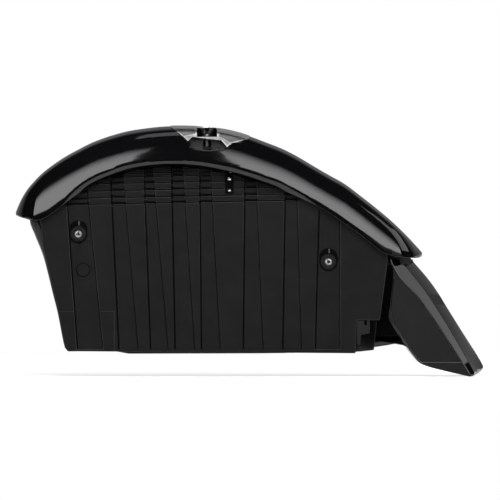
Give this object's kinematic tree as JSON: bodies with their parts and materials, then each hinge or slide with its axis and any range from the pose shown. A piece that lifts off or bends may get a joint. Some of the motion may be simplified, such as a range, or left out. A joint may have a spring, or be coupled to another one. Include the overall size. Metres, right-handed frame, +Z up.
{
  "type": "motorcycle saddlebag",
  "caption": "Hard motorcycle saddlebag: moulded case with ribbed inboard panel and tail, arched side-hinged gloss lid, push-button latch with key lock, and quarter-turn mounts.",
  "frame": {"origin": "middle of the whole bag in X and Y, at the height of the lowest point of the tail", "axes": "+X to the rear of the motorcycle, +Y outboard, away from the wheel, +Z up"},
  "size_m": [0.89, 0.244, 0.475],
  "materials": {
    "gloss_black": "glossy black moulded plastic with a clear coat",
    "matt_black": "matt black moulded plastic",
    "liner_black": "black moulded lining with a felt face",
    "rubber": "black rubber",
    "chrome": "polished chrome plate",
    "brushed": "brushed aluminium",
    "steel": "zinc plated steel",
    "dark_steel": "black coated steel"
  },
  "bodies": {
    "case": {"inner_shell": "matt_black", "outer_shell": "gloss_black", "tail_closing_panel": "matt_black", "rim_seal": "rubber", "front_hinge_case_leaf": "dark_steel", "front_hinge_pin": "steel", "front_hinge_case_screw_1": "steel", "front_hinge_case_screw_2": "steel", "rear_hinge_case_leaf": "dark_steel", "rear_hinge_pin": "steel", "rear_hinge_case_screw_1": "steel", "rear_hinge_case_screw_2": "steel", "front_mount_grommet": "rubber", "front_mount_washer": "steel", "rear_mount_grommet": "rubber", "rear_mount_washer": "steel", "blanking_plug": "matt_black", "striker": "dark_steel", "striker_plate": "dark_steel", "striker_rivet_1": "chrome", "striker_rivet_2": "chrome", "rear_bracket": "dark_steel", "rear_bracket_screw_1": "steel", "rear_bracket_screw_2": "steel", "stay_case_bracket": "dark_steel", "stay_screw_1": "steel", "stay_screw_2": "steel"},
    "lid": {"front_hinge_lid_leaf": "dark_steel", "front_hinge_lid_screw_1": "steel", "front_hinge_lid_screw_2": "steel", "rear_hinge_lid_leaf": "dark_steel", "rear_hinge_lid_screw_1": "steel", "rear_hinge_lid_screw_2": "steel", "lid_skin": "gloss_black", "lid_liner": "liner_black", "stay_lid_bracket": "dark_steel", "stay_rivet": "steel", "latch_housing": "matt_black", "latch_bezel": "chrome", "left_latch_inlay": "brushed", "right_latch_inlay": "brushed", "button_spring": "steel", "hook_pin": "steel"},
    "latch_button": {"latch_button": "chrome"},
    "lock_core": {"lock_core": "steel"},
    "latch_hook": {"latch_hook": "dark_steel"},
    "stay_arm": {"stay_arm": "steel"},
    "front_fastener": {"front_mount_stud": "chrome", "front_mount_knob": "matt_black"},
    "rear_fastener": {"rear_mount_stud": "chrome", "rear_mount_knob": "matt_black"}
  },
  "joints": [
    {"name": "lid_hinge", "type": "hinge", "parent": "case", "child": "lid", "pos_m": [0, 0.113, 0.25401], "axis": [-0.995, 0, 0.1001], "range_deg": [0, 78]},
    {"name": "latch_button_press", "type": "slide", "parent": "lid", "child": "latch_button", "axis": [0, 0, -1], "range_m": [0, 0.005], "stiffness_N_per_m": 2000, "springref_m": -0.002, "deforming": ["button_spring"]},
    {"name": "lock_core_turn", "type": "hinge", "parent": "latch_button", "child": "lock_core", "pos_m": [-0.08103, -0.0685, 0.47], "axis": [0, 0, 1], "range_deg": [0, 90]},
    {"name": "latch_hook_swing", "type": "hinge", "parent": "lid", "child": "latch_hook", "pos_m": [-0.08103, -0.042, 0.427], "axis": [1, 0, 0], "range_deg": [0, 10.5]},
    {"name": "stay_arm_swing", "type": "hinge", "parent": "lid", "child": "stay_arm", "pos_m": [0.24251, 0.03143, 0.26783], "axis": [-0.995, 0, 0.1001], "range_deg": [-39, 0]},
    {"name": "front_fastener_turn", "type": "hinge", "parent": "case", "child": "front_fastener", "pos_m": [-0.32396, -0.1, 0.2697], "axis": [0, -1, 0], "range_deg": [0, 90]},
    {"name": "rear_fastener_turn", "type": "hinge", "parent": "case", "child": "rear_fastener", "pos_m": [0.14854, -0.1, 0.21722], "axis": [0, -1, 0], "range_deg": [0, 90]}
  ],
  "couplings": [
    {"joint": "latch_hook_swing", "follows": "latch_button_press", "rad_per_m": 36},
    {"joint": "stay_arm_swing", "follows": "lid_hinge", "ratio": -0.5}
  ]
}
